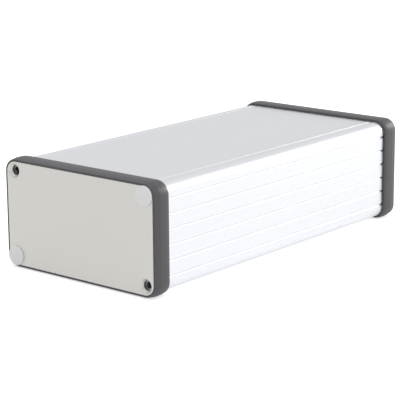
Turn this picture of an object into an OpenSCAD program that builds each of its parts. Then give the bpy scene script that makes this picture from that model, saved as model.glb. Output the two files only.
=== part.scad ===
// Extruded aluminium enclosure with a slide-in cover, two framed end panels
// and push-in plugs. Millimetres. X is the width, Y the length (front end at
// -Y) and Z is up. The origin is on the surface it stands on, under its middle.

/* [Extruded body] */
// Outside width of the extrusion
body_w = 78; // [72:1:110]
// Outside height of the extrusion
body_h = 43; // [43:1:60]
// Length of the extrusion, saw cut at both ends
body_len = 160; // [60:1:300]
// Radius of the four long outside corners
corner_r = 4.5; // [3.5:0.5:6]
// Thickness of the floor and of the two top rails
floor_t = 1.5; // [1.3:0.1:2]
// Thickness of the side walls behind the card slots
side_t = 1.4; // [1.2:0.1:1.8]

/* [Card guides] */
// Number of card slots in each side wall
slot_count = 5; // [1:2:5]
// Distance between the centres of neighbouring slots
slot_pitch = 6.15; // [5.5:0.05:6.2]
// Height of one slot, for a 1.6 mm circuit board
slot_gap = 1.8; // [1.7:0.1:2]
// Thickness of one guide rib
rib_t = 1.1; // [0.8:0.1:1.2]
// Distance the ribs stand in from the side wall
rib_reach = 1.6; // [1:0.1:2]

/* [Side grooves] */
// Number of fine grooves along each outer side
groove_count = 6; // [2:2:6]
// Distance between neighbouring grooves
groove_pitch = 6.15; // [5.5:0.05:6.2]
// Radius of the round groove cutter
groove_r = 0.5; // [0.3:0.1:0.7]
// Depth of a groove
groove_depth = 0.4; // [0.2:0.1:0.5]

/* [Screw bosses] */
// Distance from the outer side face to a boss centre
boss_in_x = 4.0; // [3.8:0.1:4.4]
// Distance from the top or bottom face to a boss centre
boss_in_z = 3.8; // [3.7:0.1:4.2]
// Outside radius of a boss
boss_r = 2.7; // [2.6:0.1:3]
// Radius of the self-tapping screw bore
bore_r = 1.45; // [1.2:0.05:1.6]
// Width of the slit that opens each boss to the inside
boss_slit = 1.4; // [0.8:0.1:1.6]

/* [Slide cover] */
// Distance from the outer side face to the seam of the cover
seam_in = 6.6; // [6.6:0.1:7.4]
// Thickness of the cover plate
cover_t = 1.5; // [1.3:0.1:2]
// Thickness of the rail's lip over a tongue
lip_t = 1.15; // [1:0.05:1.25]
// Thickness of the tongues that run in the grooves
tongue_t = 1.0; // [0.8:0.1:1.1]
// Distance a tongue reaches under the rail
tongue_reach = 1.0; // [0.6:0.1:1]
// Thickness of the ledges the tongues run on
ledge_t = 1.25; // [1:0.05:1.3]
// Distance the ledges stand in from the seam
ledge_in = 1.4; // [1:0.1:1.6]
// Play between the cover and the body, and between a cap and the body
play = 0.1; // [0.08:0.01:0.15]
// Chamfer along both edges of the seam
seam_chamfer = 0.25; // [0.1:0.05:0.4]

/* [Bezels] */
// Depth of a bezel along the enclosure
bezel_len = 8.5; // [7:0.5:12]
// Distance the bezel's parting line stands proud of the body
crown_out = 1.3; // [1:0.1:2]
// Distance from the bezel's front face to its parting line
crown_at = 3.5; // [3:0.25:4]
// Width of the flat land behind the parting line
crown_land = 2; // [1:0.5:3]
// Slope of the front half at the parting line, in degrees
crease_angle = 3; // [1:0.5:6]
// Slope of the front half at its front edge, in degrees
front_angle = 11; // [8:0.5:20]
// Radius of the front edge
edge_r = 0.45; // [0.2:0.05:0.5]
// Distance the rear edge lies inside the parting line
rear_in = 0.4; // [0.2:0.05:0.5]
// Thickness of the web between the panel and the body
web_t = 0.8; // [0.6:0.1:1.5]
// Width of the web's upright bars
web_frame_x = 3; // [2:0.1:4]
// Height of the web's level bars
web_frame_z = 2.5; // [2:0.1:3.5]
// Radius of the web's pads around the screw holes
pad_r = 4.2; // [3.5:0.1:4.5]

/* [End panels] */
// Thickness of an end panel
panel_t = 1.5; // [1.5:0.1:2]
// Radius of the screw holes
hole_r = 2.0; // [1.8:0.05:2.1]
// Radius of the countersinks at the face
sink_r = 3.1; // [2.9:0.1:3.2]
// Depth of the countersinks
sink_d = 1.2; // [0.8:0.1:1.3]

/* [Plugs] */
// Radius of a plug's head
head_r = 4.0; // [3.4:0.1:4]
// Thickness of a plug's head at its middle
head_t = 1.0; // [0.8:0.1:1.4]
// Thickness of a plug's head at its rim
rim_t = 0.7; // [0.5:0.05:0.75]
// Radius of the rounded edge of a plug's head
head_edge_r = 0.35; // [0.2:0.05:0.35]
// Clearance of the plug's neck in the panel's hole
plug_gap = 0.05; // [0.03:0.01:0.1]
// Radius of a plug's stem
stem_r = 1.4; // [1.15:0.05:1.4]
// Length of the stem inside the boss
stem_len = 8; // [6:0.5:12]
// Length of the taper at the stem's end
tip_len = 0.8; // [0.5:0.1:1.5]
// Distance the taper takes off the stem's radius
tip_in = 0.4; // [0.2:0.1:0.6]
// Width of the slot that splits the stem's end
stem_slot = 0.6; // [0.4:0.1:0.8]
// Length of the stem left whole inside the boss
stem_whole = 2; // [1:0.5:4]

/* [Hidden] */
$fn = 64;
// Steps in each arc of the bezel's wall and of a plug's head
arc_steps = 5;
// Distance a cutting shape runs past what it cuts
over = 1;

// Section of the extrusion, measured from its centre
half_w = body_w / 2;
half_h = body_h / 2;
inner_w = half_w - side_t;
floor_z = -half_h + floor_t;
seam_x = half_w - seam_in;
boss_x = half_w - boss_in_x;
boss_z = half_h - boss_in_z;
rib_x = inner_w - rib_reach;
// Cover groove in each rail, open towards the middle
tongue_top = half_h - lip_t - play;
tongue_low = tongue_top - tongue_t;
groove_low = tongue_low - play;
groove_x = seam_x + tongue_reach;
ledge_x = seam_x - ledge_in;
cover_x = seam_x - play;
tongue_root = cover_x - cover_t;
// Ends: the cap's front face is this far beyond the body
cap_t = panel_t + web_t;
// Corner centre that every rounded corner shares
corner_x = half_w - corner_r;
corner_z = half_h - corner_r;
// Radii about that corner centre
sleeve_r = corner_r + play;
crown_r = corner_r + crown_out;
// Front half of the bezel: one long arc between its two slopes
arc_end = edge_r * (1 - sin(front_angle));
front_arc = (crown_at - arc_end) / (sin(front_angle) - sin(crease_angle));
arc_centre = [crown_r - front_arc * cos(crease_angle),
              crown_at + front_arc * sin(crease_angle)];
edge_x = arc_centre[0] + (front_arc - edge_r) * cos(front_angle);
// Rear part: one arc that leaves the land without a crease
rear_from = crown_at + crown_land;
rear_run = bezel_len - rear_from;
rear_arc = (rear_run * rear_run + rear_in * rear_in) / (2 * rear_in);
rear_turn = asin(rear_run / rear_arc);
// The bezels stand on the floor, so they set the height of the section
centre_z = half_h + crown_out;
front_y = -body_len / 2 - cap_t;
// Plugs sit in the same two bosses at both ends
neck_r = hole_r - plug_gap;
stem_end = cap_t + stem_len;
// The edge of a plug's head: its rounding ends this many degrees round
head_turn = 75;

// A rectangle about the origin with true arcs at its corners
module rounded_rect(w, h, r) {
  square([w - 2 * r, h], center = true);
  square([w, h - 2 * r], center = true);
  for (x = [-1, 1], z = [-1, 1])
    translate([x * (w / 2 - r), z * (h / 2 - r)])
      circle(r);
}

module left_and_right() {
  children();
  mirror([1, 0])
    children();
}

// Rows of equal features, spread evenly about the middle height
function row_heights(count, pitch) =
  [for (i = [0 : count - 1]) (i - (count - 1) / 2) * pitch];

module boss_discs(r) {
  for (z = [-1, 1])
    translate([boss_x, z * boss_z])
      circle(r);
}

// Corners of the inside that stay solid behind the bosses
module boss_roots() {
  for (z = [-1, 1])
    translate([boss_x + corner_r / 2, z * (boss_z + corner_r / 2)])
      square(corner_r, center = true);
}

// Slits run from the bores towards the middle height
module boss_slits() {
  for (z = [-1, 1])
    translate([boss_x, z * (boss_z - boss_r)])
      square([boss_slit, 2 * boss_r], center = true);
}

module card_ribs() {
  for (z = row_heights(slot_count, slot_pitch), side = [-1, 1])
    translate([rib_x, z + side * (slot_gap + rib_t) / 2 - rib_t / 2])
      square([rib_reach + side_t / 2, rib_t]);
}

// A block under each rail, from which the cover's groove is cut
module cover_ledge() {
  translate([ledge_x, groove_low - ledge_t])
    square([boss_x - ledge_x, half_h - floor_t - groove_low + ledge_t]);
}

module cover_groove() {
  translate([ledge_x - over, groove_low])
    square([groove_x - ledge_x + over, tongue_top + play - groove_low]);
}

module side_grooves() {
  for (z = row_heights(groove_count, groove_pitch))
    translate([half_w + groove_r - groove_depth, z])
      circle(groove_r);
}

// A diamond that breaks an edge of the seam
module seam_break(x) {
  translate([x, half_h])
    rotate(45)
      square(seam_chamfer * sqrt(2), center = true);
}

// The open-topped section: floor, side walls, top rails, bosses and guides
module body_section() {
  difference() {
    union() {
      difference() {
        rounded_rect(body_w, body_h, corner_r);
        difference() {
          translate([-inner_w, floor_z])
            square([2 * inner_w, body_h - 2 * floor_t]);
          left_and_right()
            boss_roots();
        }
        translate([-seam_x, 0])
          square([2 * seam_x, body_h]);
      }
      left_and_right() {
        boss_discs(boss_r);
        card_ribs();
        cover_ledge();
      }
    }
    left_and_right() {
      boss_discs(bore_r);
      boss_slits();
      cover_groove();
      side_grooves();
      seam_break(seam_x);
    }
  }
}

// Right half of the cover's outline, from its top middle to its underside
cover_half = [
  [cover_x - seam_chamfer, half_h],
  [cover_x, half_h - seam_chamfer],
  [cover_x, tongue_top],
  [groove_x - play, tongue_top],
  [groove_x - play, tongue_low],
  [tongue_root, tongue_low],
  [tongue_root, half_h - cover_t]];

// A flat plate whose two edges step down into tongues
module cover_section() {
  last = len(cover_half) - 1;
  polygon(concat(
    cover_half,
    [for (i = [last : -1 : 0]) [-cover_half[i][0], cover_half[i][1]]]));
}

// Sweeps a section, drawn in X and Z, from front to rear over the given length
module along_y(from_y, length) {
  translate([0, from_y + length, centre_z])
    rotate([90, 0, 0])
      linear_extrude(length)
        children();
}

module body_extrusion() {
  color("#e9ebee")
    along_y(-body_len / 2, body_len)
      body_section();
}

module slide_cover() {
  color("#dcdee1")
    along_y(-body_len / 2, body_len)
      cover_section();
}

// Section of the bezel's wall: radius from the corner centre against depth
function arc_points(centre, r, from_a, to_a) =
  [for (i = [0 : arc_steps])
    let (a = from_a + (to_a - from_a) * i / arc_steps)
    centre + r * [cos(a), -sin(a)]];

function wall_points() = concat(
  [[sleeve_r, bezel_len], [sleeve_r, 0]],
  arc_points([edge_x, edge_r], edge_r, 90, front_angle),
  arc_points(arc_centre, front_arc, front_angle, crease_angle),
  arc_points([crown_r - rear_arc, rear_from], rear_arc, 0, -rear_turn));

// One quarter of the frame: a turned corner and half of each wall beside it
module frame_quarter() {
  translate([corner_x, 0, corner_z]) {
    rotate([-90, 0, 0])
      rotate([0, 0, -90])
        rotate_extrude(angle = 90)
          polygon(wall_points());
    translate([0, 0, -corner_z])
      linear_extrude(corner_z)
        polygon(wall_points());
    rotate([0, -90, 0])
      linear_extrude(corner_x)
        polygon(wall_points());
  }
}

// The web reaches half way into the wall, and frames one large opening
module web_section() {
  difference() {
    rounded_rect(body_w + crown_out, body_h + crown_out, corner_r + crown_out / 2);
    difference() {
      square([body_w - 2 * web_frame_x, body_h - 2 * web_frame_z], center = true);
      left_and_right()
        boss_discs(pad_r);
    }
    left_and_right()
      boss_discs(hole_r + play);
  }
}

// A moulded frame in place at the front: wall all round, web inside
module bezel() {
  color("#6e6d72") {
    translate([0, front_y, centre_z])
      for (x = [0, 1], z = [0, 1])
        mirror([x, 0, 0])
          mirror([0, 0, z])
            frame_quarter();
    along_y(front_y + panel_t, web_t)
      web_section();
  }
}

module each_hole() {
  for (x = [-1, 1], z = [-1, 1])
    translate([x * boss_x, 0, z * boss_z])
      children();
}

// A sheet panel with the body's outline and four countersunk holes, in place
module panel() {
  color("#cecdc9")
    difference() {
      along_y(front_y, panel_t)
        rounded_rect(body_w, body_h, corner_r);
      translate([0, front_y, centre_z])
        each_hole()
          rotate([-90, 0, 0]) {
            translate([0, 0, -over])
              cylinder(h = panel_t + 2 * over, r = hole_r);
            cylinder(h = sink_d, r1 = sink_r, r2 = hole_r);
          }
    }
}

// A shallow dome: height of a plug's head at a fraction of its radius
function dome_point(part) =
  [head_r * part, -head_t + (head_t - rim_t) * part * part];

// Outline of a plug turned about its axis: head outside, neck in the hole
function plug_points() = concat(
  [[0, stem_end], [stem_r - tip_in, stem_end], [stem_r, stem_end - tip_len],
   [stem_r, panel_t], [neck_r, panel_t], [neck_r, sink_d],
   [sink_r - plug_gap, 0], [head_r, 0]],
  arc_points([head_r - head_edge_r, head_edge_r - rim_t], head_edge_r, 0, head_turn),
  [dome_point(0.7), dome_point(0.35), dome_point(0)]);

// A plug with a split stem in place at one boss of the front end
module plug(side) {
  color("#dfe3e4")
    translate([side * boss_x, front_y, centre_z + side * boss_z])
      rotate([-90, 0, 0])
        difference() {
          rotate_extrude()
            polygon(plug_points());
          translate([-stem_slot / 2, -stem_r - over, cap_t + stem_whole])
            cube([stem_slot, 2 * (stem_r + over), stem_len]);
        }
}

// The rear end is the front end reflected along the length
module at_rear() {
  mirror([0, 1, 0])
    children();
}

module front_bezel() {
  bezel();
}

module rear_bezel() {
  at_rear()
    bezel();
}

module front_panel() {
  panel();
}

module rear_panel() {
  at_rear()
    panel();
}

module front_plug_upper() {
  plug(1);
}

module front_plug_lower() {
  plug(-1);
}

module rear_plug_upper() {
  at_rear()
    plug(1);
}

module rear_plug_lower() {
  at_rear()
    plug(-1);
}

body_extrusion();
slide_cover();
front_bezel();
rear_bezel();
front_panel();
rear_panel();
front_plug_upper();
front_plug_lower();
rear_plug_upper();
rear_plug_lower();
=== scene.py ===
import math

import bmesh
import bpy
from mathutils import Matrix, Vector


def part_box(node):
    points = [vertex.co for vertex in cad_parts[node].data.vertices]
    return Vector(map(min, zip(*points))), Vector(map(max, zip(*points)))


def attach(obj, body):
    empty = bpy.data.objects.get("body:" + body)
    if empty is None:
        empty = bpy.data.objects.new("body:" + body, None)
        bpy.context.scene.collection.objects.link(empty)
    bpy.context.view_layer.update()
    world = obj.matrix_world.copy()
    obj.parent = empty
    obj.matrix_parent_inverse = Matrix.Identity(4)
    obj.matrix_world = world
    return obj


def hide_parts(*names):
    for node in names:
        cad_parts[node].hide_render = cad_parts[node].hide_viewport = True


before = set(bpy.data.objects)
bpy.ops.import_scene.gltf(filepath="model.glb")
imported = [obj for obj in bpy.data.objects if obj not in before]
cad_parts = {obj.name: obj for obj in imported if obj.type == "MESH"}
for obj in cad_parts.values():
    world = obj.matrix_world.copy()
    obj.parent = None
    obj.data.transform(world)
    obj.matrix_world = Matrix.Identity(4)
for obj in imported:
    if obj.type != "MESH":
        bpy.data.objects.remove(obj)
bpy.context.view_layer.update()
mm = 0.001
sewWithin = 1e-6                         # metres: a cap and its drawn sides are joined
sameSpot = 1e-7                          # metres: points this close are one point
scene = bpy.context.scene

# Degrees between two faces from which the edge between them stays sharp
sharpFrom = {"section": 25, "bezel": 40, "panel": 30, "plugs": 40}

# Places every piece shares, taken from the parts in model.glb
bodyLow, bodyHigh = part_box("body_extrusion")
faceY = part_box("front_panel")[0].y       # outer face of the front panel
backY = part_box("rear_panel")[1].y        # outer face of the rear panel
centreZ = (bodyLow.z + bodyHigh.z) / 2
halfW = bodyHigh.x / mm                  # half the section's width and height, in mm
halfH = (bodyHigh.z - bodyLow.z) / 2 / mm


def toLinear(hexColour):
    parts = [int(hexColour[i:i + 2], 16) / 255 for i in (1, 3, 5)]
    return tuple(c / 12.92 if c < 0.04045 else ((c + 0.055) / 1.055) ** 2.4 for c in parts) + (1.0,)


def addNode(tree, kind, links=None, **settings):
    node = tree.nodes.new(kind)
    for name, value in settings.items():
        setattr(node, name, value)
    for socket, value in (links or {}).items():
        if isinstance(value, bpy.types.NodeSocket):
            tree.links.new(value, node.inputs[socket])
        else:
            node.inputs[socket].default_value = value
    return node


# Outlines, in mm about the middle of the section

def arc(centre, radius, start, end, steps):
    turns = [math.radians(start + (end - start) * i / steps) for i in range(steps + 1)]
    return [(centre[0] + radius * math.cos(a), centre[1] + radius * math.sin(a)) for a in turns]


def roundedRect(halfX, halfZ, radius, steps):
    x, z = halfX - radius, halfZ - radius
    return (arc((x, z), radius, 0, 90, steps) + arc((-x, z), radius, 90, 180, steps)
            + arc((-x, -z), radius, 180, 270, steps) + arc((x, -z), radius, 270, 360, steps))


def circle(x, z, radius, steps):
    return arc((x, z), radius, 0, 360, steps)[:-1]


def mirrored(half):
    # closes the right half of a section, drawn from its top middle to its foot, with the left half
    return half + [(-x, z) for x, z in reversed(half)]


def rowHeights(count, pitch):
    return [(i - (count - 1) / 2) * pitch for i in range(count)]


def outlineObject(name, loops):
    # closed loops of bare edges, for a tree to fill or sweep
    mesh = bpy.data.meshes.new(name)
    points = [(x * mm, z * mm, 0) for loop in loops for x, z in loop]
    edges = []
    first = 0
    for loop in loops:
        count = len(loop)
        edges += [(first + i, first + (i + 1) % count) for i in range(count)]
        first += count
    mesh.from_pydata(points, edges, [])
    obj = bpy.data.objects.new(name, mesh)
    scene.collection.objects.link(obj)
    return obj


# Geometry Nodes: one tree draws out a section, one sweeps a wall round the end, one sets the plugs

def newTree(name, inputs):
    tree = bpy.data.node_groups.new(name, "GeometryNodeTree")
    tree.is_modifier = True
    tree.interface.new_socket("Geometry", in_out="OUTPUT", socket_type="NodeSocketGeometry")
    tree.interface.new_socket("Geometry", in_out="INPUT", socket_type="NodeSocketGeometry")
    for label, kind in inputs:
        tree.interface.new_socket(label, in_out="INPUT", socket_type="NodeSocket" + kind)
    return tree, addNode(tree, "NodeGroupInput").outputs


def endTree(tree, geometry, material):
    real = addNode(tree, "GeometryNodeRealizeInstances", {"Geometry": geometry})
    painted = addNode(tree, "GeometryNodeSetMaterial", {"Geometry": real.outputs[0], "Material": material})
    addNode(tree, "NodeGroupOutput", {"Geometry": painted.outputs[0]})
    return tree


def sectionTree():
    tree, given = newTree("drawOutSection", [("Length", "Float"), ("Far end", "Vector"),
                                             ("Material", "Material")])
    curve = addNode(tree, "GeometryNodeMeshToCurve", {"Mesh": given["Geometry"]})
    face = addNode(tree, "GeometryNodeFillCurve", {"Curve": curve.outputs[0]}, mode="TRIANGLES")
    drawn = addNode(tree, "GeometryNodeExtrudeMesh", {"Mesh": face.outputs[0],
                                                      "Offset Scale": given["Length"], "Individual": False})
    back = addNode(tree, "GeometryNodeFlipFaces", {"Mesh": face.outputs[0]})
    whole = addNode(tree, "GeometryNodeJoinGeometry", {"Geometry": drawn.outputs[0]})
    tree.links.new(back.outputs[0], whole.inputs[0])
    sewn = addNode(tree, "GeometryNodeMergeByDistance", {"Geometry": whole.outputs[0],
                                                         "Distance": sewWithin})
    laid = addNode(tree, "GeometryNodeTransform", {"Geometry": sewn.outputs[0],
                                                   "Translation": given["Far end"],
                                                   "Rotation": (math.pi / 2, 0, 0)})
    return endTree(tree, laid.outputs[0], given["Material"])


def wallTree():
    tree, given = newTree("sweepWall", [("Width", "Float"), ("Height", "Float"), ("Corner radius", "Float"),
                                        ("Corner steps", "Int"), ("Place", "Vector"), ("Turn", "Vector"),
                                        ("Material", "Material")])
    path = addNode(tree, "GeometryNodeCurvePrimitiveQuadrilateral", {"Width": given["Width"],
                                                                     "Height": given["Height"]})
    rounded = addNode(tree, "GeometryNodeFilletCurve", {"Curve": path.outputs[0],
                                                        "Count": given["Corner steps"],
                                                        "Radius": given["Corner radius"]}, mode="POLY")
    profile = addNode(tree, "GeometryNodeMeshToCurve", {"Mesh": given["Geometry"]})
    wall = addNode(tree, "GeometryNodeCurveToMesh", {"Curve": rounded.outputs[0],
                                                     "Profile Curve": profile.outputs[0]})
    laid = addNode(tree, "GeometryNodeTransform", {"Geometry": wall.outputs[0],
                                                   "Translation": given["Place"],
                                                   "Rotation": given["Turn"]})
    return endTree(tree, laid.outputs[0], given["Material"])


def plugTree():
    tree, given = newTree("setPlugs", [("Plug", "Object"), ("Turn", "Vector"), ("Material", "Material")])
    plug = addNode(tree, "GeometryNodeObjectInfo", {"Object": given["Plug"]})
    spread = addNode(tree, "GeometryNodeInstanceOnPoints", {"Points": given["Geometry"],
                                                            "Instance": plug.outputs["Geometry"],
                                                            "Rotation": given["Turn"]})
    return endTree(tree, spread.outputs[0], given["Material"])


def growMesh(source, tree, values, name):
    modifier = source.modifiers.new("grow", "NODES")
    modifier.node_group = tree
    for item in tree.interface.items_tree:
        if item.in_out == "INPUT" and item.name in values:
            modifier[item.identifier] = values[item.name]
    bpy.context.view_layer.update()
    graph = bpy.context.evaluated_depsgraph_get()
    mesh = bpy.data.meshes.new_from_object(source.evaluated_get(graph), depsgraph=graph)
    source.modifiers.remove(modifier)
    piece = bpy.data.objects.new(name, mesh)
    scene.collection.objects.link(piece)
    bpy.data.objects.remove(source)
    return piece


def finishMesh(piece, sharpAngle):
    # seams closed, faces outwards; flat stretches stay flat and round ones turn smoothly
    bm = bmesh.new()
    bm.from_mesh(piece.data)
    bmesh.ops.remove_doubles(bm, verts=bm.verts, dist=sameSpot)
    bmesh.ops.recalc_face_normals(bm, faces=bm.faces)
    bm.to_mesh(piece.data)
    bm.free()
    for face in piece.data.polygons:
        face.use_smooth = True
    piece.data.set_sharp_from_angle(angle=math.radians(sharpAngle))
    return piece


def joinInto(piece, other):
    bm = bmesh.new()
    bm.from_mesh(piece.data)
    bm.from_mesh(other.data)
    bm.to_mesh(piece.data)
    bm.free()
    bpy.data.objects.remove(other)
    return piece


def place(piece, body, slot, *nodes):
    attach(piece, body)
    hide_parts(*nodes)
    print("piece", piece.name, len(piece.data.polygons), "faces")


drawOut = sectionTree()
sweepWall = wallTree()
setPlugs = plugTree()


# Materials

def newMaterial(name):
    material = bpy.data.materials.new(name)
    material.use_nodes = True
    tree = material.node_tree
    tree.nodes.clear()
    shader = addNode(tree, "ShaderNodeBsdfPrincipled")
    addNode(tree, "ShaderNodeOutputMaterial", {"Surface": shader.outputs[0]})
    return material, tree, shader, addNode(tree, "ShaderNodeTexCoord").outputs["Object"]


def grainTone(tree, where, size, look, detail=3.0):
    # noise drawn to a grain size (x, y, z) in metres; its value, and the look's two tones mixed by it
    scaled = addNode(tree, "ShaderNodeMapping", {"Vector": where, "Scale": [1 / s for s in size]})
    noise = addNode(tree, "ShaderNodeTexNoise", {"Vector": scaled.outputs[0], "Scale": 1.0,
                                                 "Detail": detail})
    tone = addNode(tree, "ShaderNodeMix", {0: noise.outputs["Fac"], 6: toLinear(look["dark"]),
                                           7: toLinear(look["light"])}, data_type="RGBA")
    return noise.outputs["Fac"], tone.outputs[2]


def anodisedExtrusion():
    # clear anodised aluminium, pressed through a die: satin, with faint lines along its length
    look = {"dark": "#e3e5e9", "light": "#eceef1", "lineWidth": 0.4 * mm, "lineLength": 70 * mm,
            "smooth": 0.34, "rough": 0.42, "lineDepth": 0.0015 * mm}
    material, tree, shader, where = newMaterial("anodisedExtrusion")
    size = (look["lineWidth"], look["lineLength"], look["lineWidth"])
    lines, tone = grainTone(tree, where, size, look)
    rough = addNode(tree, "ShaderNodeMapRange", {"Value": lines, "To Min": look["smooth"],
                                                 "To Max": look["rough"]})
    bump = addNode(tree, "ShaderNodeBump", {"Height": lines, "Distance": look["lineDepth"],
                                            "Strength": 1.0})
    shader.inputs["Metallic"].default_value = 1.0
    tree.links.new(tone, shader.inputs["Base Color"])
    tree.links.new(rough.outputs[0], shader.inputs["Roughness"])
    tree.links.new(bump.outputs[0], shader.inputs["Normal"])
    return material


def anodisedSheet():
    # etched and clear anodised sheet: dead matt, even, faintly warm
    look = {"dark": "#d2d0cc", "light": "#dad8d4", "grit": 0.35 * mm, "gritDepth": 0.0015 * mm,
            "roughness": 0.5}
    material, tree, shader, where = newMaterial("etchedAnodisedSheet")
    grit, tone = grainTone(tree, where, (look["grit"],) * 3, look)
    bump = addNode(tree, "ShaderNodeBump", {"Height": grit, "Distance": look["gritDepth"],
                                            "Strength": 1.0})
    shader.inputs["Metallic"].default_value = 1.0
    shader.inputs["Roughness"].default_value = look["roughness"]
    tree.links.new(tone, shader.inputs["Base Color"])
    tree.links.new(bump.outputs[0], shader.inputs["Normal"])
    return material


def mouldedAbs():
    # ABS moulded against a spark-eroded steel: finely pitted, dark grey, with a soft sheen
    look = {"dark": "#48474b", "light": "#525155", "pit": 0.3 * mm, "pitDepth": 0.006 * mm,
            "roughness": 0.46, "bend": 1.54}
    material, tree, shader, where = newMaterial("mouldedGreyAbs")
    pits, tone = grainTone(tree, where, (look["pit"],) * 3, look)
    bump = addNode(tree, "ShaderNodeBump", {"Height": pits, "Distance": look["pitDepth"],
                                            "Strength": 1.0})
    shader.inputs["IOR"].default_value = look["bend"]
    shader.inputs["Roughness"].default_value = look["roughness"]
    tree.links.new(tone, shader.inputs["Base Color"])
    tree.links.new(bump.outputs[0], shader.inputs["Normal"])
    return material


def naturalNylon():
    # natural nylon, moulded: milky, with light that gets about half a millimetre into it, blue the least
    look = {"dark": "#f5f8f9", "light": "#fbfcfb", "cloud": 2.5 * mm, "roughness": 0.3,
            "bend": 1.53, "milk": 0.5, "lightReach": 0.6 * mm, "reachByColour": (1.0, 1.0, 0.9)}
    material, tree, shader, where = newMaterial("naturalNylon")
    tone = grainTone(tree, where, (look["cloud"],) * 3, look, detail=1.0)[1]
    shader.inputs["IOR"].default_value = look["bend"]
    shader.inputs["Roughness"].default_value = look["roughness"]
    shader.inputs["Subsurface Weight"].default_value = look["milk"]
    shader.inputs["Subsurface Scale"].default_value = look["lightReach"]
    shader.inputs["Subsurface Radius"].default_value = look["reachByColour"]
    tree.links.new(tone, shader.inputs["Base Color"])
    return material


extrusionFinish = anodisedExtrusion()
sheetFinish = anodisedSheet()
absFinish = mouldedAbs()
nylonFinish = naturalNylon()
print("materials made")


# Extruded channel: floor, walls, card guides, screw bosses and the rails that hold the cover

channel = {"corner": 4.5, "floor": 1.5, "side": 1.4, "slots": 5, "slotPitch": 6.15, "slotGap": 1.8,
           "rib": 1.1, "ribReach": 1.6, "grooves": 6, "groovePitch": 6.15, "grooveRadius": 0.5,
           "grooveDepth": 0.4, "bossInX": 4.0, "bossInZ": 3.8, "boss": 2.7, "bore": 1.45, "slit": 1.4,
           "seamIn": 6.6, "lip": 1.15, "ledge": 1.25, "ledgeIn": 1.4, "chamfer": 0.25}
channelSteps = {"corner": 20, "groove": 12, "bore": 32, "bossFlank": 14, "bossFoot": 8}
cover = {"plate": 1.5, "tongue": 1.0, "reach": 1.0, "play": 0.1}
cornerAt = (halfW - channel["corner"], halfH - channel["corner"])
bossAt = (halfW - channel["bossInX"], halfH - channel["bossInZ"])
seamX = halfW - channel["seamIn"]
tongueTop = halfH - channel["lip"] - cover["play"]
tongueLow = tongueTop - cover["tongue"]


def lean(dx, dz):
    return math.degrees(math.atan2(dz, dx)) % 360


def chord(radius, offset):
    return math.sqrt(radius * radius - offset * offset)


def channelSection():
    s, n, play = channel, channelSteps, cover["play"]
    wall, floor = halfW - s["side"], -halfH + s["floor"]
    slit, side = s["slit"] / 2, wall - bossAt[0]
    low, high = (bossAt[0], -bossAt[1]), bossAt
    outer = [(seamX, halfH - s["chamfer"]), (seamX + s["chamfer"], halfH)]
    outer += arc(cornerAt, s["corner"], 90, 0, n["corner"])
    grooveX = halfW + s["grooveRadius"] - s["grooveDepth"]
    opening = lean(halfW - grooveX, chord(s["grooveRadius"], grooveX - halfW))
    for z in reversed(rowHeights(s["grooves"], s["groovePitch"])):
        outer += arc((grooveX, z), s["grooveRadius"], opening, 360 - opening, n["groove"])
    outer += arc((cornerAt[0], -cornerAt[1]), s["corner"], 0, -90, n["corner"])
    # inside, from the floor over the lower boss and its slit, up the ribs and over the upper boss
    atSlit, boreAtSlit, atWall = chord(s["boss"], slit), chord(s["bore"], slit), chord(s["boss"], side)
    drop = floor - low[1]
    inner = arc(low, s["boss"], lean(-chord(s["boss"], drop), drop), lean(-slit, atSlit), n["bossFlank"])
    inner += arc(low, s["bore"], lean(-slit, boreAtSlit), lean(slit, boreAtSlit) + 360, n["bore"])
    inner += arc(low, s["boss"], lean(slit, atSlit), lean(side, atWall), n["bossFoot"])
    for z in rowHeights(s["slots"], s["slotPitch"]):
        for way in (-1, 1):
            near, far = sorted(z + way * (s["slotGap"] / 2 + step) for step in (0, s["rib"]))
            tip = wall - s["ribReach"]
            inner += [(wall, near), (tip, near), (tip, far), (wall, far)]
    inner += arc(high, s["boss"], lean(side, -atWall), lean(slit, -atSlit), n["bossFoot"])
    inner += arc(high, s["bore"], lean(slit, -boreAtSlit) - 360, lean(-slit, -boreAtSlit), n["bore"])
    ledgeLow = tongueLow - play - s["ledge"]
    lift = ledgeLow - high[1]
    inner += arc(high, s["boss"], lean(-slit, -atSlit), lean(-chord(s["boss"], lift), lift), n["bossFlank"])
    ledgeX, grooveEnd = seamX - s["ledgeIn"], seamX + cover["reach"]
    inner += [(ledgeX, ledgeLow), (ledgeX, tongueLow - play), (grooveEnd, tongueLow - play),
              (grooveEnd, tongueTop + play), (seamX, tongueTop + play)]
    return mirrored(outer) + [(-x, z) for x, z in reversed(inner)] + inner


def coverSection():
    edge = seamX - cover["play"]
    tip, root = edge + cover["reach"], edge - cover["plate"]
    return mirrored([(edge - channel["chamfer"], halfH), (edge, halfH - channel["chamfer"]),
                     (edge, tongueTop), (tip, tongueTop), (tip, tongueLow), (root, tongueLow),
                     (root, halfH - cover["plate"])])


bodyRun = bodyHigh.y - bodyLow.y
bodyEnd = (0, bodyHigh.y, centreZ)
for name, section, body, node in (("extrudedBody", channelSection(), "body", "body_extrusion"),
                                  ("coverPlate", coverSection(), "cover", "slide_cover")):
    piece = growMesh(outlineObject(name + "Section", [section]), drawOut,
                     {"Length": bodyRun, "Far end": bodyEnd, "Material": extrusionFinish}, name)
    place(finishMesh(piece, sharpFrom["section"]), body, "anodised_body", node)


# End panels: sheet with a rubbed outer edge and four countersunk holes

panel = {"thickness": 1.5, "edge": 0.25, "backEdge": 0.1, "hole": 2.0, "sink": 3.1, "sinkDepth": 1.2,
         "sinkEdge": 0.06, "lipDepths": (0.4, 1.1), "support": 0.05, "cornerSteps": 16, "edgeSteps": 5,
         "holeSteps": 64}


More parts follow.
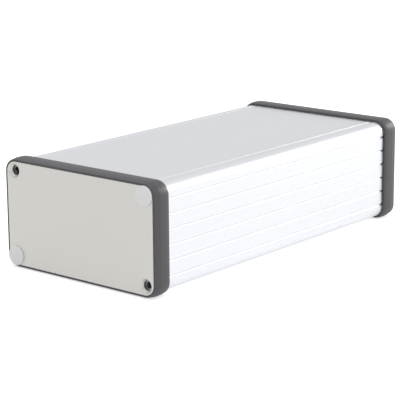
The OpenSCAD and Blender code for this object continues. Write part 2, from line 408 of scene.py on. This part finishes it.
def ringsToSkin(bm, rings):
    loops = [[bm.verts.new(point) for point in ring] for ring in rings]
    for near, far in zip(loops, loops[1:]):
        for i in range(len(near)):
            j = (i + 1) % len(near)
            bm.faces.new((near[i], near[j], far[j], far[i]))
    return loops[0], loops[-1]


def ringEdges(bm, loop):
    return [bm.edges.get((a, b)) for a, b in zip(loop, loop[1:] + loop[:1])]


def makePanel(name, atEnd):
    p, bm = panel, bmesh.new()
    turns = [math.radians(90 * i / p["edgeSteps"]) for i in range(p["edgeSteps"] + 1)]
    insets = [(p["edge"] + p["support"], 0)]
    insets += [(p["edge"] * (1 - math.sin(a)), p["edge"] * (1 - math.cos(a))) for a in turns]
    insets += [(0, p["thickness"] - p["backEdge"]), (p["backEdge"], p["thickness"])]
    outer = [[atEnd(x, depth, z) for x, z in roundedRect(halfW - inset, halfH - inset,
                                                         channel["corner"] - inset, p["cornerSteps"])]
             for inset, depth in insets]
    front, back = ringsToSkin(bm, outer)
    fronts, backs = [front], [back]
    lip = p["sinkEdge"]
    shallow, deep = (lip * part for part in p["lipDepths"])
    turned = [(p["sink"] + lip + p["support"], 0), (p["sink"] + lip, 0), (p["sink"], shallow),
              (p["sink"] - lip, deep), (p["hole"], p["sinkDepth"]), (p["hole"], p["thickness"])]
    for x in (-bossAt[0], bossAt[0]):
        for z in (-bossAt[1], bossAt[1]):
            rings = [[atEnd(px, depth, pz) for px, pz in circle(x, z, radius, p["holeSteps"])]
                     for radius, depth in turned]
            front, back = ringsToSkin(bm, rings)
            fronts.append(front)
            backs.append(back)
    for loops in (fronts, backs):
        edges = [edge for loop in loops for edge in ringEdges(bm, loop)]
        bmesh.ops.triangle_fill(bm, edges=edges, use_beauty=True)
    mesh = bpy.data.meshes.new(name)
    bm.to_mesh(mesh)
    bm.free()
    mesh.materials.append(sheetFinish)
    piece = bpy.data.objects.new(name, mesh)
    scene.collection.objects.link(piece)
    return piece


# Bezels: a moulded wall that wraps the end, crowned at the parting line, with a web inside

bezel = {"depth": 8.5, "proud": 1.3, "crownAt": 3.5, "land": 2.0, "crease": 6, "frontSlope": 11,
         "edge": 0.45, "rearIn": 0.4, "rearEdge": 0.15, "web": 0.8, "barX": 3.0, "barZ": 2.5, "pad": 4.2,
         "clear": 0.1, "crownHold": 0.1}
bezelSteps = {"corner": 16, "edge": 6, "front": 10, "rear": 6, "rearEdge": 5, "pad": 16, "hole": 40}


def bezelWall():
    # outwards from the sleeve that slides over the body, against depth from the front face
    b, n = bezel, bezelSteps
    crown = b["proud"] - b["clear"]
    slope, crease = math.radians(b["frontSlope"]), math.radians(b["crease"])
    run = b["crownAt"] - b["edge"] * (1 - math.sin(slope))
    frontArc = run / (math.sin(slope) - math.sin(crease))
    centre = (crown - frontArc * math.cos(crease), b["crownAt"] + frontArc * math.sin(crease))
    edgeAt = (centre[0] + (frontArc - b["edge"]) * math.cos(slope), b["edge"])
    rearRun = b["depth"] - b["crownAt"] - b["land"]
    rearArc = (rearRun ** 2 + b["rearIn"] ** 2) / (2 * b["rearIn"])
    rearTurn = math.degrees(math.asin(rearRun / rearArc))
    points = [(0, b["depth"]), (0, 0)]
    points += arc(edgeAt, b["edge"], -90, -b["frontSlope"], n["edge"])
    points += arc(centre, frontArc, -b["frontSlope"], -b["crease"], n["front"])[1:]
    points += [(crown, b["crownAt"] + b["crownHold"])]
    points += arc((crown - rearArc, b["crownAt"] + b["land"]), rearArc, 0, rearTurn, n["rear"])
    rear = points.pop()
    points += arc((rear[0] - b["rearEdge"], rear[1] - b["rearEdge"]), b["rearEdge"], rearTurn, 90,
                  n["rearEdge"])
    return points


def webLoops():
    b, n = bezel, bezelSteps
    halfX, halfZ, pad = halfW - b["barX"], halfH - b["barZ"], b["pad"]
    out, up = halfX - bossAt[0], halfZ - bossAt[1]
    corner = arc(bossAt, pad, lean(out, -chord(pad, out)), lean(-chord(pad, up), up), n["pad"])
    top = mirrored(corner)
    opening = top + [(x, -z) for x, z in reversed(top)]
    reach = b["proud"] / 2
    sheet = roundedRect(halfW + reach, halfH + reach, channel["corner"] + reach, n["corner"])
    holes = [circle(x * bossAt[0], z * bossAt[1], panel["hole"] + b["clear"], n["hole"])
             for x in (-1, 1) for z in (-1, 1)]
    return [sheet, opening] + holes


# Push-in plugs: a domed head, a neck that fills the hole and a split stem that grips the boss

plug = {"head": 4.0, "domeAt": 1.0, "rimAt": 0.7, "edge": 0.35, "gap": 0.05, "stem": 1.4, "stemEnd": 10.3,
        "tip": 0.8, "tipIn": 0.4, "slot": 0.6, "slotFrom": 4.3, "slotOver": 1,
        "underEdge": 0.05, "domeRings": (0.15, 0.35, 0.55, 0.7, 0.82), "edgeFrom": -75, "edgeSteps": 7,
        "steps": 48}


def makePlug():
    g, p = plug, panel
    profile = [(g["head"] * part, -g["domeAt"] + (g["domeAt"] - g["rimAt"]) * part * part)
               for part in g["domeRings"]]
    profile += arc((g["head"] - g["edge"], g["edge"] - g["rimAt"]), g["edge"], g["edgeFrom"], 0,
                   g["edgeSteps"])
    profile += [(g["head"], -g["underEdge"]), (g["head"] - g["underEdge"], 0), (p["sink"] - g["gap"], 0),
                (p["hole"] - g["gap"], p["sinkDepth"]), (p["hole"] - g["gap"], p["thickness"]),
                (g["stem"], p["thickness"]), (g["stem"], g["stemEnd"] - g["tip"]),
                (g["stem"] - g["tipIn"], g["stemEnd"])]
    bm = bmesh.new()
    rings = [[Vector((x, depth, z)) * mm for x, z in circle(0, 0, radius, g["steps"])]
             for radius, depth in profile]
    top, end = ringsToSkin(bm, rings)
    tip = bm.verts.new(Vector((0, -g["domeAt"], 0)) * mm)
    for i in range(len(top)):
        bm.faces.new((tip, top[i], top[i - 1]))
    bm.faces.new(end)
    bmesh.ops.recalc_face_normals(bm, faces=bm.faces)
    mesh = bpy.data.meshes.new("plugTurned")
    bm.to_mesh(mesh)
    bm.free()
    return bpy.data.objects.new("plugTurned", mesh)


def splitStem(whole):
    # a saw slot across the stem, open at its end
    g = plug
    length = g["stemEnd"] - g["slotFrom"] + g["slotOver"]
    bm = bmesh.new()
    bmesh.ops.create_cube(bm, size=mm)
    bmesh.ops.scale(bm, vec=(g["slot"], length, 2 * g["stem"] + g["slotOver"]), verts=bm.verts)
    bmesh.ops.translate(bm, vec=Vector((0, g["slotFrom"] + length / 2, 0)) * mm, verts=bm.verts)
    mesh = bpy.data.meshes.new("sawSlot")
    bm.to_mesh(mesh)
    bm.free()
    saw = bpy.data.objects.new("sawSlot", mesh)
    for obj in (whole, saw):
        scene.collection.objects.link(obj)
    cut = whole.modifiers.new("split", "BOOLEAN")
    cut.operation = "DIFFERENCE"
    cut.solver = "EXACT"
    cut.object = saw
    bpy.context.view_layer.update()
    graph = bpy.context.evaluated_depsgraph_get()
    split = bpy.data.objects.new("plugSplit", bpy.data.meshes.new_from_object(whole.evaluated_get(graph)))
    scene.collection.objects.link(split)
    for obj in (whole, saw):
        bpy.data.objects.remove(obj)
    return split


# Both ends take the same pieces; the rear set is turned half round

onePlug = splitStem(makePlug())


def frontEnd(x, depth, z):
    return Vector((x * mm, faceY + depth * mm, centreZ + z * mm))


def rearEnd(x, depth, z):
    return Vector((-x * mm, backY - depth * mm, centreZ + z * mm))


def dressEnd(name, body, atEnd, halfTurn, webFar, plugSides):
    # webFar: depth of the side of the web from which it is drawn out, towards the front of the case
    b, sleeve = bezel, channel["corner"] + bezel["clear"]
    turn = (math.pi / 2, 0, halfTurn)
    wall = growMesh(outlineObject("wallProfile", [bezelWall()]), sweepWall,
                    {"Width": 2 * (halfW + b["clear"]) * mm, "Height": 2 * (halfH + b["clear"]) * mm,
                     "Corner radius": sleeve * mm, "Corner steps": bezelSteps["corner"],
                     "Place": atEnd(0, 0, 0), "Turn": turn, "Material": absFinish}, name + "Bezel")
    web = growMesh(outlineObject("webOutline", webLoops()), drawOut,
                   {"Length": b["web"] * mm, "Far end": atEnd(0, webFar, 0),
                    "Material": absFinish}, "web")
    place(finishMesh(joinInto(wall, web), sharpFrom["bezel"]), body, "bezel_plastic", name + "_bezel")
    sheet = makePanel(name + "Panel", atEnd)
    place(finishMesh(sheet, sharpFrom["panel"]), body, "anodised_panel", name + "_panel")
    points = bpy.data.meshes.new("plugPoints")
    points.from_pydata([atEnd(across * bossAt[0], 0, up * bossAt[1]) for across, up in plugSides], [], [])
    spots = bpy.data.objects.new("plugPoints", points)
    scene.collection.objects.link(spots)
    plugs = growMesh(spots, setPlugs, {"Plug": onePlug, "Turn": (0, 0, halfTurn), "Material": nylonFinish},
                     name + "Plugs")
    place(finishMesh(plugs, sharpFrom["plugs"]), body, "plug_nylon", name + "_plug_upper",
          name + "_plug_lower")


panelBack = panel["thickness"]
dressEnd("front", "front_cap", frontEnd, 0.0, panelBack + bezel["web"], [(1, 1), (-1, -1)])
dressEnd("rear", "rear_cap", rearEnd, math.pi, panelBack, [(-1, 1), (1, -1)])
bpy.data.objects.remove(onePlug)


# Floor, light and camera

def makeStage():
    # white floor that runs out of sight; it glows to the camera and, less, in reflections
    stage = {"size": 8.0, "colour": "#f4f4f4", "glowSeen": 0.6, "glowMirrored": 0.36}
    mesh = bpy.data.meshes.new("floor")
    s = stage["size"] / 2
    mesh.from_pydata([(-s, -s, 0), (s, -s, 0), (s, s, 0), (-s, s, 0)], [], [(0, 1, 2, 3)])
    floor = bpy.data.objects.new("floor", mesh)
    scene.collection.objects.link(floor)
    material = bpy.data.materials.new("paintedFloor")
    material.use_nodes = True
    tree = material.node_tree
    tree.nodes.clear()
    matt = addNode(tree, "ShaderNodeBsdfDiffuse", {"Color": toLinear(stage["colour"])})
    path = addNode(tree, "ShaderNodeLightPath").outputs
    bounced = addNode(tree, "ShaderNodeMath", {0: path["Is Glossy Ray"], 1: path["Is Transmission Ray"]},
                      operation="MAXIMUM")
    bounced = addNode(tree, "ShaderNodeMath", {0: bounced.outputs[0], 1: stage["glowMirrored"]},
                      operation="MULTIPLY")
    glow = addNode(tree, "ShaderNodeMath", {0: path["Is Camera Ray"], 1: stage["glowSeen"],
                                            2: bounced.outputs[0]}, operation="MULTIPLY_ADD")
    glowing = addNode(tree, "ShaderNodeEmission", {"Strength": glow.outputs[0]})
    both = addNode(tree, "ShaderNodeAddShader", {0: matt.outputs[0], 1: glowing.outputs[0]})
    addNode(tree, "ShaderNodeOutputMaterial", {"Surface": both.outputs[0]})
    mesh.materials.append(material)


def makeSky():
    # dimmer as a light than as seen, directly or in a reflection
    sky = {"light": 0.7, "seen": 1.0}
    world = bpy.data.worlds.new("softRoom")
    scene.world = world
    world.use_nodes = True
    tree = world.node_tree
    tree.nodes.clear()
    path = addNode(tree, "ShaderNodeLightPath").outputs
    seen = addNode(tree, "ShaderNodeMath", {0: path["Is Camera Ray"], 1: path["Is Glossy Ray"]},
                   operation="MAXIMUM")
    seen = addNode(tree, "ShaderNodeMath", {0: seen.outputs[0], 1: path["Is Transmission Ray"]},
                   operation="MAXIMUM")
    strength = addNode(tree, "ShaderNodeMapRange", {"Value": seen.outputs[0], "To Min": sky["light"],
                                                    "To Max": sky["seen"]})
    sheet = addNode(tree, "ShaderNodeBackground", {"Strength": strength.outputs[0]})
    addNode(tree, "ShaderNodeOutputWorld", {"Surface": sheet.outputs[0]})


def addLamp(name, size, power, at, aim):
    light = bpy.data.lights.new(name, "AREA")
    light.shape = "RECTANGLE"
    light.size, light.size_y = size
    light.energy = power
    lamp = bpy.data.objects.new(name, light)
    scene.collection.objects.link(lamp)
    lamp.location = at
    lamp.rotation_euler = (Vector(aim) - Vector(at)).to_track_quat("-Z", "Y").to_euler()


def makeCamera():
    eye = {"lens": 145.12, "azimuth": 39.79, "elevation": 13.85, "roll": -0.43, "distance": 691.67 * mm,
           "right": -4.86 * mm, "up": -4.99 * mm, "near": 10 * mm}
    azimuth, elevation, roll = (math.radians(eye[k]) for k in ("azimuth", "elevation", "roll"))
    back = Vector((math.sin(azimuth) * math.cos(elevation), -math.cos(azimuth) * math.cos(elevation),
                   math.sin(elevation)))
    right = Vector((math.cos(azimuth), math.sin(azimuth), 0))
    up = back.cross(right)
    target = Vector((0, 0, centreZ)) + right * eye["right"] + up * eye["up"]
    across = right * math.cos(roll) + up * math.sin(roll)
    camera = bpy.data.objects.new("camera", bpy.data.cameras.new("camera"))
    camera.data.lens = eye["lens"]
    camera.data.clip_start = eye["near"]
    axes = Matrix((across, back.cross(across), back)).transposed()
    camera.matrix_world = Matrix.Translation(target + back * eye["distance"]) @ axes.to_4x4()
    scene.collection.objects.link(camera)
    scene.camera = camera


# sizes and places in metres, power in watts
lamps = {"overhead": {"size": (1.2, 1.2), "power": 4.0, "at": (0.1, -0.1, 1.2), "aim": (0, 0, 0)},
         "backRight": {"size": (0.5, 0.3), "power": 4.2, "at": (0.4, 0.92, 0.37), "aim": (0, 0, 0.02)}}
makeStage()
makeSky()
for name, lamp in lamps.items():
    addLamp(name, **lamp)
makeCamera()
scene.view_settings.view_transform = "Standard"
